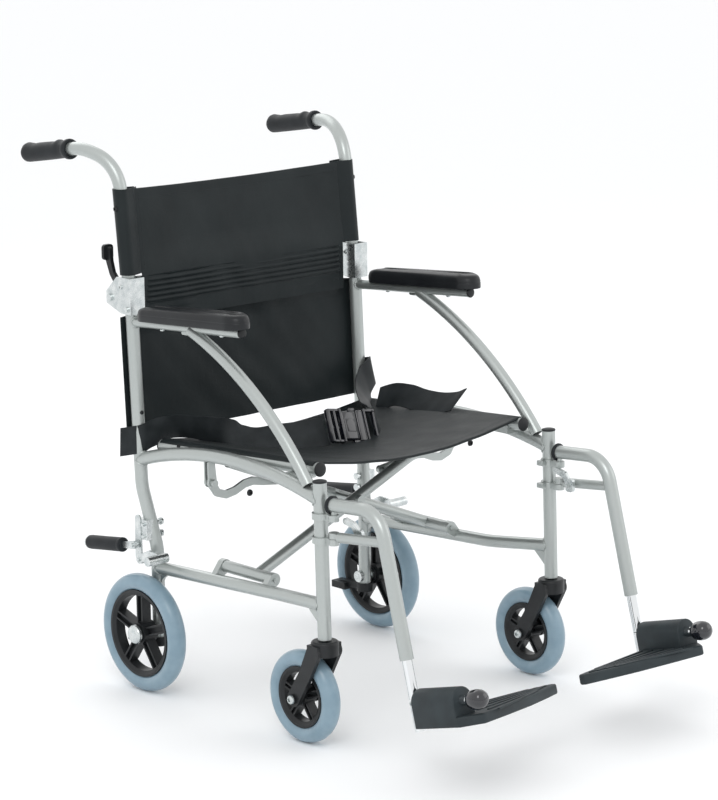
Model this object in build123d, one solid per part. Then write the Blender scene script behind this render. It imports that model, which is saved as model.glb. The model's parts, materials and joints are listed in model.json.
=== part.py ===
"""Folding attendant-pushed wheelchair, millimetres.

+Z is up and the chair faces -Y. The left-hand pieces are at +X and each is mirrored for the right.
The origin is on the floor, under the middle of the chair's own box.
"""

import os
from math import atan2, cos, degrees, hypot, radians, sin

from build123d import *

os.makedirs("parts", exist_ok=True)

# ---------------------------------------------------------------- driving dimensions
CENTRE_Y = 6.9            # every Y below is measured from the chair's drawing datum, this far ahead

TUBE = 11.0               # outer radius of the frame tubes
WALL = 1.8
POST_X = 248.0            # side frame plane at the seat and arms
RAIL_X = 234.0            # side frame plane at the lower rail and rear wheel bracket
UPRIGHT_X = 254.0         # caster housing tube
UPRIGHT_FOOT = (UPRIGHT_X, -190.0, 178.0)
UPRIGHT_HEAD = (UPRIGHT_X, -184.0, 428.0)
POST_TOP = 650.0
AXLE_Y = 250.0

WHEEL_X = 265.5
WHEEL_R = 100.0           # eight-inch rear wheel
CASTER_R = 75.0           # six-inch front wheel
CASTER_X = 254.0
CASTER_Y = -141.0         # wheel centre, trailing behind the stem
STEM_Y = -190.0
TYRE_W = 32.0

CROSS_R = 9.5             # scissor tubes
SLEEVE_X = 215.0          # lower scissor hinge
SLEEVE_Z = 234.0
SLEEVE_R = 10.0
CENTRE_Z = 322.0          # scissor centre bolt
PLANE_A = 16.0            # front scissor tube, low on the right
PLANE_B = 70.0            # rear scissor tube, low on the left
SEAT_RAIL_X = 225.5
SEAT_RAIL_FRONT = (-152.0, 438.5)
SEAT_RAIL_BACK = (236.0, 414.8)
PIN_GAP = 0.05            # radial running clearance of every hinge pin

LINK_X = 246.0            # fold link pivot under the seat arch
LINK_Z = 380.0
LINK_END = (77.0, 356.0)
LINK_T = 5.0

HINGE_Y = 317.0           # back fold pivot
HINGE_Z = 658.0
SWING_Y = -212.0          # footrest swing pivot
SWING_X = 251.0
DROP_TILT = radians(14.8)  # footrest drop tube, from vertical
STEP_HINGE = (251.0, -390.0, 120.0)


# ---------------------------------------------------------------- helpers
def save(name, *solids):
    """Write one node, shifted so that the origin is under the chair's middle."""
    shape = Compound(children=list(solids)) if len(solids) > 1 else solids[0]
    export_step(Pos(0, CENTRE_Y, 0) * shape, f"parts/{name}.step")


def save_pair(name, *solids):
    """Write the left-hand node and its mirror image for the right."""
    save(f"{name}_left", *solids)
    save(f"{name}_right", *[mirror(s, about=Plane.YZ) for s in solids])


def solid_of(shape):
    """The shape's largest single solid."""
    return max(shape.solids(), key=lambda s: s.volume)


def rod(start, end, radius, inner=0.0):
    """A round bar or tube from one point to another."""
    start = Vector(*start)
    end = Vector(*end)
    axis = end - start
    plane = Plane(origin=start, z_dir=axis)
    bar = extrude(plane * Circle(radius), amount=axis.length)
    if inner:
        bar -= extrude(plane * Circle(inner), amount=axis.length)
    return solid_of(bar)


def sweep_tube(path, radius, inner=0.0):
    """A tube along a path of lines and arcs."""
    plane = Plane(origin=path @ 0, z_dir=path % 0)
    section = plane * Circle(radius)
    if inner:
        section -= plane * Circle(inner)
    return solid_of(sweep(section, path=path))


def bent(points, radii):
    return FilletPolyline(*points, radius=radii)


def hull_plate(centres, thickness, plane):
    """A flat link: circles (u, v, r) in a plane, each joined to the next by its tangents."""
    plate = None
    for (u0, v0, r0), (u1, v1, r1) in zip(centres, centres[1:]):
        piece = make_hull(
            ((Pos(u0, v0) * Circle(r0)).edges() + (Pos(u1, v1) * Circle(r1)).edges())
        )
        plate = piece if plate is None else plate + piece
    return solid_of(extrude(plane * plate, amount=thickness))


def outline(*points):
    """A flat face with straight edges through these points."""
    return make_face(Polyline(*points, close=True))


def side_plane(x):
    """Drawing plane whose u is Y and v is Z, looking along +X."""
    return Plane(origin=(x, 0, 0), x_dir=(0, 1, 0), z_dir=(1, 0, 0))


def front_plane(y):
    """Drawing plane whose u is X and v is Z, extruding toward -Y."""
    return Plane(origin=(0, y, 0), x_dir=(1, 0, 0), z_dir=(0, -1, 0))


def block(x0, x1, y0, y1, z0, z1):
    box = Box(x1 - x0, y1 - y0, z1 - z0)
    return Pos((x0 + x1) / 2, (y0 + y1) / 2, (z0 + z1) / 2) * box


def x_wheel(profile, x, y, z):
    """A profile drawn as (radius, width) turned about an X axis."""
    turned = revolve(Plane.XY * profile, axis=Axis.Y)
    return Pos(x, y, z) * (Rot(0, 0, -90) * turned)


# ---------------------------------------------------------------- welded side frame
post_path = bent(
    [(RAIL_X, AXLE_Y, 76), (RAIL_X, 248, 240), (POST_X, 267, 345), (POST_X, 281, POST_TOP)],
    130,
)
post_outer = sweep_tube(post_path, TUBE)
BRAKE_BOLTS = ((254.0, 282.0), (254.0, 262.0))
rear_post = sweep_tube(post_path, TUBE, TUBE - WALL)
rear_post -= rod((220, AXLE_Y, WHEEL_R), (250, AXLE_Y, WHEEL_R), 6)
for bolt_y, bolt_z in BRAKE_BOLTS:
    rear_post -= rod((215, bolt_y, bolt_z), (265, bolt_y, bolt_z), 3)
rear_post = solid_of(rear_post)

upright_outer = rod(UPRIGHT_FOOT, UPRIGHT_HEAD, TUBE)
front_upright = rod(UPRIGHT_FOOT, UPRIGHT_HEAD, TUBE, TUBE - WALL)

arch_path = ThreePointArc((POST_X, 268, 390), (250, 43, 427.5), (UPRIGHT_X, -184, 400))
arch_outer = sweep_tube(arch_path, TUBE)
seat_arch = solid_of(sweep_tube(arch_path, TUBE, TUBE - WALL) - post_outer - upright_outer)

rail_path = bent([(RAIL_X, 248, 206), (RAIL_X, -66, 221), (UPRIGHT_X, -187, 233)], 260)
rail_outer = sweep_tube(rail_path, TUBE - 0.5)
lower_rail = solid_of(
    sweep_tube(rail_path, TUBE - 0.5, TUBE - 0.5 - WALL) - post_outer - upright_outer
)

BAR_BACK = Vector(POST_X, 280, 620)
BAR_FRONT = Vector(252, -2, 638)
BAR_R = 8.0
bar_outer = rod(BAR_BACK, BAR_FRONT, BAR_R)
arm_bar = rod(BAR_BACK, BAR_FRONT, BAR_R, BAR_R - 1.6) - post_outer
brace_path = ThreePointArc((252, 122, 626), (252, -28, 545), (UPRIGHT_X, -158, 419))
arm_brace = sweep_tube(brace_path, TUBE - 1, TUBE - 1 - WALL) - bar_outer - arch_outer
brace_web = hull_plate([(142, 620, 3), (92, 621, 3), (84, 606, 3)], 4, side_plane(250))
brace_web = brace_web - bar_outer - sweep_tube(brace_path, TUBE - 1)
arm_brace = solid_of(arm_brace - upright_outer)
arm_frame = [solid_of(arm_bar), arm_brace, solid_of(brace_web)]

save_pair("rear_post", rear_post)
save_pair("front_upright", front_upright)
save_pair("seat_arch", seat_arch)
save_pair("lower_rail", lower_rail)
save_pair("arm_frame", *arm_frame)


# ---------------------------------------------------------------- arm pad
def arm_pad():
    """A crowned pad lying on the arm bar, its underside grooved for the bar."""
    length = 262.0
    width = 47.0
    height = 30.0
    plan = extrude(SlotOverall(length, width), amount=height)
    pad = fillet(plan.edges().group_by(Axis.Z)[-1], 12)
    pad = chamfer(pad.edges().group_by(Axis.Z)[0], 3)
    tilt = degrees(atan2(18, 282))
    pad = Pos(255.5, 114, 636.5) * (Rot(-tilt, 0, 0) * (Rot(0, 0, 90) * pad))
    overrun = (BAR_FRONT - BAR_BACK) * 0.3
    return solid_of(pad - rod(BAR_BACK - overrun, BAR_FRONT + overrun, BAR_R + 0.02))


save_pair("arm_pad", arm_pad())


# ---------------------------------------------------------------- brackets welded to the side frame
def hinge_lugs(sleeve):
    """Two eyes on the lower rail and the pin between them, for the scissor's sleeve."""
    front, back = sleeve
    gap = 0.4
    eye = 11.0
    foot = [(SLEEVE_X, SLEEVE_Z, eye), (RAIL_X - 3, 220, 7)]
    lug_front = hull_plate(foot, 11, front_plane(front - gap)) - rail_outer
    lug_back = hull_plate(foot, 11, front_plane(back + gap + 11)) - rail_outer
    pin = rod((SLEEVE_X, front - 14, SLEEVE_Z), (SLEEVE_X, back + 14, SLEEVE_Z), 4)
    return [solid_of(lug_front + pin + lug_back)]


def link_tab(plane_y):
    """Two ears under the seat arch with the fold link's bolt through them."""
    ears = []
    side = LINK_T / 2 + 0.4
    for y in (plane_y - side, plane_y + side + 3):
        ear = hull_plate([(LINK_X, LINK_Z, 8.5), (POST_X, 412, 7)], 3, front_plane(y))
        ears.append(ear - arch_outer)
    bolt = rod((LINK_X, plane_y - 9, LINK_Z), (LINK_X, plane_y + 9, LINK_Z), 3)
    head = rod((LINK_X, plane_y - 12, LINK_Z), (LINK_X, plane_y - side - 3, LINK_Z), 6)
    nut = rod((LINK_X, plane_y + side + 3, LINK_Z), (LINK_X, plane_y + 11, LINK_Z), 5.5)
    return [solid_of(ears[0] + ears[1] + bolt + head + nut)]


seat_rail_left = rod(
    (SEAT_RAIL_X, SEAT_RAIL_FRONT[0], SEAT_RAIL_FRONT[1]),
    (SEAT_RAIL_X, SEAT_RAIL_BACK[0], SEAT_RAIL_BACK[1]),
    TUBE,
)
rail_slope = (SEAT_RAIL_FRONT[1] - SEAT_RAIL_BACK[1]) / (SEAT_RAIL_BACK[0] - SEAT_RAIL_FRONT[0])


def seat_rail_z(y):
    return SEAT_RAIL_FRONT[1] - rail_slope * (y - SEAT_RAIL_FRONT[0])


def seat_rail_at(y):
    return Vector(SEAT_RAIL_X, y, seat_rail_z(y))


def saddle(y, length):
    """An open-topped cup beside the arch, which the seat rail drops into."""
    z = seat_rail_z(y)
    cup = block(213, POST_X, y - length / 2, y + length / 2, z - 16, z - 2)
    groove_a = (SEAT_RAIL_X, y - length, seat_rail_z(y - length) + 0.3)
    groove_b = (SEAT_RAIL_X, y + length, seat_rail_z(y + length) + 0.3)
    cup -= rod(groove_a, groove_b, TUBE + 0.5)
    cup -= arch_outer
    cup -= block(222, POST_X, y - length, y + length, z - 2 - 6, z + 9)
    return solid_of(cup)


def footrest_collars():
    """Two cast collars round the upright with the sockets the footrest's pins drop into."""
    collars = []
    for z in (376, 338):
        ring = Pos(UPRIGHT_X, -186, z - 5) * extrude(Circle(TUBE + 3.5), amount=10)
        ear = Pos(SWING_X, SWING_Y, z - 5) * extrude(Circle(8.5), amount=10)
        web = block(SWING_X - 7, SWING_X + 7, SWING_Y, -186, z - 5, z + 5)
        lobe = block(UPRIGHT_X - 22, UPRIGHT_X - 8, -192, -178, z - 4, z + 4)
        collar = ring + ear + web + lobe - upright_outer
        collar -= Pos(SWING_X, SWING_Y, z - 6) * extrude(Circle(4.5 + PIN_GAP), amount=12)
        collars.append(solid_of(collar))
    return collars


def gussets():
    """Curved webs under both ends of the lower rail."""
    rear = outline((246, 209), (246, 168), (232, 190), (216, 201), (204, 209))
    rear = solid_of(extrude(side_plane(RAIL_X - 3) * rear, amount=6) - post_outer - rail_outer)
    front = outline((-186, 230), (-186, 192), (-172, 205), (-156, 219), (-150, 230))
    front = solid_of(extrude(side_plane(249) * front, amount=6) - upright_outer - rail_outer)
    return [rear, front]


BUSH_LOW = 179.0
BUSH_HIGH = 193.0
BUSH_FIT = 0.4            # clearance of the bush in the upright's bore
STEM_R = 6.0


def caster_bush():
    """The lower bearing bush, pressed into the upright's foot."""
    low = (UPRIGHT_X, STEM_Y, BUSH_LOW)
    high = (UPRIGHT_X, STEM_Y, BUSH_HIGH)
    return rod(low, high, TUBE - WALL - BUSH_FIT, STEM_R + PIN_GAP)


SLEEVE_LEFT = (20.0, 140.0)
SLEEVE_RIGHT = (-17.0, 93.0)
LINK_PLANE_LEFT = 34.0
LINK_PLANE_RIGHT = 90.0

common = [saddle(-112, 34), saddle(205, 30), caster_bush()] + footrest_collars() + gussets()
save("frame_fittings_left", *common, *hinge_lugs(SLEEVE_LEFT), *link_tab(LINK_PLANE_LEFT))
right_only = hinge_lugs(SLEEVE_RIGHT) + link_tab(LINK_PLANE_RIGHT)
save("frame_fittings_right", *[mirror(s, about=Plane.YZ) for s in common + right_only])


# ---------------------------------------------------------------- scissor
def cross_brace(plane_y, sleeve, with_bolt):
    """Sleeve at the right foot, tube up through the centre, seat rail at the left."""
    slope = (CENTRE_Z - SLEEVE_Z) / SLEEVE_X
    foot = Vector(-SLEEVE_X, plane_y, SLEEVE_Z)
    head = Vector(SEAT_RAIL_X, plane_y, CENTRE_Z + slope * SEAT_RAIL_X)
    up = (head - foot).normalized()
    web_x = SEAT_RAIL_X - 34
    web = hull_plate(
        [(web_x, CENTRE_Z + slope * web_x + 5, 3), (SEAT_RAIL_X - 8, 416, 3)],
        5, front_plane(plane_y + 2.5),
    )
    brace = rod((-SLEEVE_X, sleeve[0], SLEEVE_Z), (-SLEEVE_X, sleeve[1], SLEEVE_Z), SLEEVE_R)
    brace += rod(foot, head, CROSS_R)
    brace += seat_rail_left
    brace += web
    brace -= rod(foot + up * 12, head - up * 14, CROSS_R - WALL)
    brace += rod((0, plane_y - 8, CENTRE_Z), (0, plane_y + 8, CENTRE_Z), 8)
    brace -= rod((-SLEEVE_X, -60, SLEEVE_Z), (-SLEEVE_X, 200, SLEEVE_Z), 4 + PIN_GAP)
    bore_front = seat_rail_at(SEAT_RAIL_FRONT[0] + 8)
    bore_back = seat_rail_at(SEAT_RAIL_BACK[0] - 8)
    brace -= rod(bore_front, bore_back, TUBE - WALL)
    if with_bolt:
        brace += rod((0, plane_y - CROSS_R - 7, CENTRE_Z), (0, PLANE_B + 17, CENTRE_Z), 4)
        brace += rod((0, plane_y - 16.5, CENTRE_Z), (0, plane_y - CROSS_R, CENTRE_Z), 8)
        brace += rod((0, PLANE_B + CROSS_R + 0.6, CENTRE_Z), (0, PLANE_B + 16, CENTRE_Z), 7)
    else:
        brace -= rod((0, plane_y - 20, CENTRE_Z), (0, plane_y + 20, CENTRE_Z), 4 + PIN_GAP)
    return solid_of(brace)


brace_a = cross_brace(PLANE_A, SLEEVE_RIGHT, True)
brace_b = mirror(cross_brace(PLANE_B, SLEEVE_LEFT, False), about=Plane.YZ)
save("cross_brace_a", brace_a)
save("cross_brace_b", brace_b)


def fold_link(plane_y, toward):
    """Goose-necked flat bar from the arch's ears to its stud beside the scissor tube."""
    neck = [
        (LINK_X, LINK_Z, 7),
        (233, 361, 6.6),
        (215, 355, 6.6),
        (196, 358, 6.6),
        (176, 366, 6.6),
        (158, 368, 6.6),
        (136, 363.5, 6.6),
        (LINK_END[0], LINK_END[1], 7),
    ]
    bar = hull_plate(neck, LINK_T, front_plane(plane_y + LINK_T / 2))
    bar -= rod((LINK_X, plane_y - 9, LINK_Z), (LINK_X, plane_y + 9, LINK_Z), 3 + PIN_GAP)
    stud_tip = plane_y + toward
    stud = rod((LINK_END[0], plane_y, LINK_END[1]), (LINK_END[0], stud_tip, LINK_END[1]), 4)
    head_y = plane_y - LINK_T / 2 * (1 if toward > 0 else -1)
    head_tip = head_y - (4 if toward > 0 else -4)
    head = rod((LINK_END[0], head_tip, LINK_END[1]), (LINK_END[0], head_y, LINK_END[1]), 6)
    return solid_of(bar + stud + head)


save("fold_link_left", fold_link(LINK_PLANE_LEFT, -(LINK_PLANE_LEFT - PLANE_A - CROSS_R - 0.8)))
right_link = fold_link(LINK_PLANE_RIGHT, -(LINK_PLANE_RIGHT - PLANE_B - CROSS_R - 0.8))
save("fold_link_right", mirror(right_link, about=Plane.YZ))


# ---------------------------------------------------------------- folding back
def back_hinge():
    """Folded-steel channel round the joint, with the pivot bolt through its rear ears."""
    inner = 12.25
    gauge = 2.5
    cheek = outline((266, 634), (290, 634), (328, 648), (328, 668), (300, 694), (266, 694))
    plates = []
    for x in (POST_X - inner - gauge, POST_X + inner):
        plates.append(extrude(side_plane(x) * cheek, amount=gauge))
    web = block(POST_X - inner - gauge, POST_X + inner + gauge, 264, 266.5, 634, 694)
    seat = rod((POST_X, 280.2, 634), (POST_X, 281, 648), inner) - post_outer
    seat = seat - rod((POST_X, 280.2, 630), (POST_X, 281, 660), TUBE)
    bolt = rod((POST_X - 19, HINGE_Y, HINGE_Z), (POST_X + 19, HINGE_Y, HINGE_Z), 3)
    head = rod((POST_X + 14.7, HINGE_Y, HINGE_Z), (POST_X + 19, HINGE_Y, HINGE_Z), 6)
    nut = rod((POST_X - 19, HINGE_Y, HINGE_Z), (POST_X - 14.7, HINGE_Y, HINGE_Z), 6)
    rivet = rod((POST_X + 14.7, 275, 642), (POST_X + 18, 275, 642), 5)
    bracket = plates[0] + plates[1] + web + seat + bolt + head + nut + rivet
    return solid_of(bracket - post_outer)


CANE_POINTS = [(POST_X, 282.5, 652), (POST_X, 305, 878), (270, 372, 901), (271.2, 518, 880.5)]
CANE_BENDS = [68, 80]
cane_path = bent(CANE_POINTS, CANE_BENDS)
cane_bore = bent([(POST_X, 287.48, 702)] + CANE_POINTS[1:], CANE_BENDS)
LEVER_Y = 304.0
LEVER_Z = 681.0


def back_cane():
    """Push-handle tube with the lug it pivots on and the release lever's pin."""
    cane = sweep_tube(cane_path, TUBE)
    lug = hull_plate([(286, 664, 8), (HINGE_Y, HINGE_Z, 8.5)], 12, side_plane(POST_X - 8))
    lug += hull_plate([(287, 681, 7), (LEVER_Y, LEVER_Z, 7)], 12, side_plane(POST_X - 8))
    cane = cane + lug - sweep_tube(cane_bore, TUBE - WALL)
    cane -= rod((220, HINGE_Y, HINGE_Z), (280, HINGE_Y, HINGE_Z), 3 + PIN_GAP)
    cane += rod((POST_X + 4, LEVER_Y, LEVER_Z), (POST_X + 11.6, LEVER_Y, LEVER_Z), 2.5)
    return solid_of(cane)


def back_release():
    """Spoon-shaped lever behind the cane that frees the back."""
    spoon = [
        (LEVER_Y, LEVER_Z, 5.5),
        (318, 697, 5),
        (325, 716, 6),
        (328, 733, 7.5),
    ]
    lever = hull_plate(spoon, 6.5, side_plane(POST_X + 4.4))
    thumb = Pos(POST_X + 7.6, 331, 731) * Box(20, 6, 26)
    lever += fillet(thumb.edges().filter_by(Axis.Y), 6)
    lever -= rod((220, LEVER_Y, LEVER_Z), (280, LEVER_Y, LEVER_Z), 2.5 + PIN_GAP)
    return solid_of(lever)


def push_grip():
    """Rubber grip over the handle's end."""
    start = Vector(270.55, 400, 897)
    end = Vector(271.2, 518, 880.5)
    run = (end - start).length
    profile = outline(
        (0, 0), (14.5, 0), (17, 3), (17, 8), (14.5, 14), (14, 30), (15.2, 70),
        (15.2, run - 4), (13, run + 3), (8, run + 7), (0, run + 8),
    )
    grip = revolve(Plane.XY * profile, axis=Axis.Y)
    place = Plane(origin=start, x_dir=(1, 0, 0), z_dir=(end - start))
    grip = place.location * (Rot(90, 0, 0) * grip)
    cane_outer = sweep_tube(cane_path, TUBE)
    return solid_of(grip - cane_outer)


save_pair("back_hinge", back_hinge())
save_pair("back_cane", back_cane())
save_pair("back_release", back_release())
save_pair("push_grip", push_grip())


# ---------------------------------------------------------------- wheels
def tyre(radius, seat_radius):
    """A round solid tyre with a flat bed on the rim."""
    half_height = (radius - seat_radius) * 0.56
    oval = Pos(radius - half_height, 0) * Ellipse(half_height, TYRE_W / 2)
    bed = Pos(seat_radius / 2, 0) * Rectangle(seat_radius, TYRE_W * 2)
    return oval - bed


def spoked_rim(radius, lip, width, hub_radius, hub_left, hub_right, bore):
    """A moulded rim with five channelled spokes, about X through the origin."""
    rim = outline(
        (radius - 10, -width / 2 + 4), (radius - 4, -width / 2), (radius, -width / 2),
        (radius, width / 2), (radius - 4, width / 2), (radius - 10, width / 2 - 4),
    )
    ring = x_wheel(rim, 0, 0, 0)
    hub = rod((-hub_left, 0, 0), (hub_right, 0, 0), hub_radius)
    step = rod((-width / 2 - 1, 0, 0), (width / 2 + 1, 0, 0), hub_radius + lip)
    wheel = ring + hub + step
    spoke_width = 0.18 * radius
    for i in range(5):
        web = block(-3, 3, -spoke_width / 2, spoke_width / 2, hub_radius, radius - 8)
        rib_a = block(-width / 2 + 4, width / 2 - 4, -spoke_width / 2 - 1, -spoke_width / 2 + 2,
                      hub_radius, radius - 8)
        rib_b = block(-width / 2 + 4, width / 2 - 4, spoke_width / 2 - 2, spoke_width / 2 + 1,
                      hub_radius, radius - 8)
        wheel += Rot(72 * i, 0, 0) * (web + rib_a + rib_b)
    wheel -= rod((-60, 0, 0), (60, 0, 0), bore)
    return solid_of(wheel)


rear_rim = Pos(WHEEL_X, AXLE_Y, WHEEL_R) * spoked_rim(74, 5, 26, 14, 17, 17, 6 + PIN_GAP)
caster_rim = Pos(CASTER_X, CASTER_Y, CASTER_R) * spoked_rim(50, 3, 24, 11, 17, 17, 4 + PIN_GAP)
save_pair("rear_rim", rear_rim)
save_pair("rear_tyre", x_wheel(tyre(WHEEL_R, 74), WHEEL_X, AXLE_Y, WHEEL_R))
save_pair("caster_rim", caster_rim)
save_pair("caster_tyre", x_wheel(tyre(CASTER_R, 50), CASTER_X, CASTER_Y, CASTER_R))

axle_end = WHEEL_X + 25
rear_axle = (
    rod((219, AXLE_Y, WHEEL_R), (axle_end - 1, AXLE_Y, WHEEL_R), 6)
    + rod((217, AXLE_Y, WHEEL_R), (222.9, AXLE_Y, WHEEL_R), 10)
    + rod((245.1, AXLE_Y, WHEEL_R), (WHEEL_X - 17.4, AXLE_Y, WHEEL_R), 9)
)
hub_cap = rod((WHEEL_X + 17.6, AXLE_Y, WHEEL_R), (axle_end, AXLE_Y, WHEEL_R), 16)
hub_cap = fillet(hub_cap.edges().group_by(Axis.X)[-1], 5)
save_pair("rear_axle", solid_of(rear_axle + hub_cap - post_outer + rod(
    (220, AXLE_Y, WHEEL_R), (248, AXLE_Y, WHEEL_R), 6)))


def tip_pedal():
    """Flat pedal at the post's foot that the attendant treads on to tip the chair."""
    arm = hull_plate([(AXLE_Y + 14, 80, 6), (315, 74, 6)], 14, side_plane(RAIL_X - 7))
    pad = block(RAIL_X - 15, RAIL_X + 10, 288, 322, 68, 80)
    cup = rod((RAIL_X, AXLE_Y, 72), (RAIL_X, AXLE_Y, 87), TUBE + 3.5)
    hole = rod((RAIL_X, AXLE_Y, 60), (RAIL_X, AXLE_Y, 110), TUBE + 0.2)
    return solid_of(arm + pad + cup - hole)


save_pair("tip_pedal", tip_pedal())


def caster_fork():
    """Moulded fork: stem, round head, two raked legs and the wheel's axle bolt."""
    stem = rod((CASTER_X, STEM_Y, 160), (CASTER_X, STEM_Y, 214), 6)
    head = rod((CASTER_X, STEM_Y, 153), (CASTER_X, STEM_Y, 176), 22)
    head = fillet(head.edges().group_by(Axis.Z)[-1], 4)
    legs = []
    for x in (CASTER_X - 25.5, CASTER_X + 18.5):
        leg = hull_plate([(STEM_Y + 2, 158, 14), (-168, 118, 12.5), (CASTER_Y, CASTER_R, 13)],
                         7, side_plane(x))
        legs.append(leg)
    cheek = block(CASTER_X - 25.5, CASTER_X + 25.5, STEM_Y - 10, STEM_Y + 14, 153, 171)
    fork = head + cheek + legs[0] + legs[1] + stem
    clear = rod((CASTER_X - 18.4, CASTER_Y, CASTER_R), (CASTER_X + 18.4, CASTER_Y, CASTER_R),
                CASTER_R + 3)
    fork -= clear
    fork += rod((CASTER_X - 29, CASTER_Y, CASTER_R), (CASTER_X + 29, CASTER_Y, CASTER_R), 4)
    fork += rod((CASTER_X + 25, CASTER_Y, CASTER_R), (CASTER_X + 29, CASTER_Y, CASTER_R), 8)
    fork += rod((CASTER_X - 29, CASTER_Y, CASTER_R), (CASTER_X - 25, CASTER_Y, CASTER_R), 8)
    return solid_of(fork)


save_pair("caster_fork", caster_fork())

# ---------------------------------------------------------------- brake
BRAKE_X = 252.0
BRAKE_PIVOT = (272.0, 246.0)
SHOE_PIVOT = (262.0, 222.0)


PLATE_OFFSET = 4.0        # brake plate stands this far outboard of the lever's line


def brake_bracket():
    """Clamp plate bolted through the post, holding both pivots inboard of the wheel's face."""
    plate = hull_plate([(268, 290, 7), (268, 226, 8), (SHOE_PIVOT[0], SHOE_PIVOT[1], 8)], 3,
                       side_plane(BRAKE_X + PLATE_OFFSET))
    plate = solid_of(plate - post_outer)
    spacers = []
    for y, z in BRAKE_BOLTS:
        spacers.append(rod((222, y, z), (BRAKE_X + 9, y, z), 3))
        spacers.append(rod((219, y, z), (223, y, z), 6))
    strap = block(RAIL_X + 4, BRAKE_X + 5, 246, 272, 256, 290) - post_outer
    lever_pin = rod((BRAKE_X + 6, *BRAKE_PIVOT), (BRAKE_X + 19, *BRAKE_PIVOT), 3)
    shoe_pin = rod((BRAKE_X + 6, *SHOE_PIVOT), (BRAKE_X + 14.5, *SHOE_PIVOT), 3)
    return solid_of(plate + strap + lever_pin + shoe_pin + spacers[0] + spacers[1]
                    + spacers[2] + spacers[3])


def brake_lever():
    """Steel lever pointing backward, with its rubber grip."""
    x = BRAKE_X + 11.8
    arm = hull_plate([(BRAKE_PIVOT[0], BRAKE_PIVOT[1], 7), (300, 241, 5), (326, 238, 5)], 4,
                     side_plane(x))
    arm -= rod((220, *BRAKE_PIVOT), (300, *BRAKE_PIVOT), 3 + PIN_GAP)
    grip = rod((x + 2, 302, 241), (x + 2, 394, 229), 11.5)
    grip = fillet(grip.edges(), 4)
    return solid_of(arm + grip)


def brake_shoe():
    """Swing arm with the knurled bar that presses on the tyre."""
    x = BRAKE_X + 7.3
    arm = hull_plate([(SHOE_PIVOT[0], SHOE_PIVOT[1], 7), (236, 236, 6), (205, 234, 6)], 4,
                     side_plane(x))
    arm -= rod((220, *SHOE_PIVOT), (300, *SHOE_PIVOT), 3 + PIN_GAP)
    bar = rod((250, 205, 234), (291, 205, 234), 8)
    return solid_of(arm + bar)


save_pair("brake_bracket", brake_bracket())
save_pair("brake_lever", brake_lever())
save_pair("brake_shoe", brake_shoe())

# ---------------------------------------------------------------- footrests
DROP_DIR = Vector(0, -sin(DROP_TILT), -cos(DROP_TILT))
STEP_FORWARD = Vector(0, -cos(DROP_TILT), sin(DROP_TILT))
STEP = Vector(*STEP_HINGE)


def along_drop(distance):
    """A point on the drop tube's axis, this far above the footplate hinge."""
    return STEP - DROP_DIR * distance


def footrest_hanger():
    """Bent hanger tube with the two pins that hook into the upright's collars."""
    elbow = along_drop((404 - STEP_HINGE[2]) / cos(DROP_TILT))
    path = bent([(SWING_X, -205, 396), tuple(elbow), tuple(along_drop(66))], 48)
    tube = sweep_tube(path, TUBE, 8.1)
    plug = rod((SWING_X, -205.5, 396), (SWING_X, -222, 397), TUBE - 0.5)
    top_pin = rod((SWING_X, SWING_Y, 370.5), (SWING_X, SWING_Y, 392), 4.5)
    stub_root = along_drop(246)
    stub = rod((SWING_X, SWING_Y - 13, 347), tuple(stub_root), 8) - sweep_tube(path, TUBE)
    stub = solid_of(stub)
    eye = rod((SWING_X, SWING_Y, 343.6), (SWING_X, SWING_Y, 353), 8)
    neck = block(SWING_X - 5, SWING_X + 5, SWING_Y - 16, SWING_Y, 344, 352)
    low_pin = rod((SWING_X, SWING_Y, 332), (SWING_X, SWING_Y, 348), 4.5)
    hanger = tube + plug + top_pin + stub + eye + neck + low_pin
    hanger += rod((SWING_X - 22, -252, 350), (SWING_X, -252, 350), 3)
    return solid_of(hanger)


def footrest_latch():
    """Thumb lever inboard of the hanger's stub that unlocks the swing."""
    lever = Pos(SWING_X - 17, -252, 350) * Box(6, 16, 22)
    lever = fillet(lever.edges().filter_by(Axis.X), 5)
    tail = hull_plate([(-252, 350, 6), (-240, 366, 5), (-222, 370, 5)], 6,
                      side_plane(SWING_X - 20))
    lever = lever + tail
    lever -= rod((SWING_X - 40, -252, 350), (SWING_X, -252, 350), 3 + PIN_GAP)
    return solid_of(lever)


def footrest_slide():
    """Chrome inner tube that sets the footplate's height, and the hinge boss on it."""
    tube = rod(tuple(along_drop(150)), tuple(along_drop(-44)), 8, 6)
    boss = rod(tuple(STEP + STEP_FORWARD * -2), tuple(STEP + STEP_FORWARD * 11.5), 10)
    boss -= rod(tuple(along_drop(30)), tuple(along_drop(-30)), 6)
    slide = tube + boss
    slide -= rod(tuple(STEP + STEP_FORWARD * 2), tuple(STEP + STEP_FORWARD * 20), 5 + PIN_GAP)
    return solid_of(slide)


def step_plane():
    """Origin on the footplate hinge: x outboard, y forward along the pin, z up the drop tube."""
    return Plane(origin=STEP, x_dir=(-1, 0, 0), z_dir=-DROP_DIR)


def footplate_pin():
    """Hinge pin through the footplate's barrel, with the ball knob on its front end."""
    u = STEP_FORWARD
    pin = rod(tuple(STEP + u * 9), tuple(STEP + u * 108), 5)
    collar = rod(tuple(STEP + u * 107.6), tuple(STEP + u * 134), 8.5)
    knob = Plane(origin=STEP + u * 139, z_dir=u).location * Sphere(15.5)
    return solid_of(pin + collar + knob)


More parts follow.
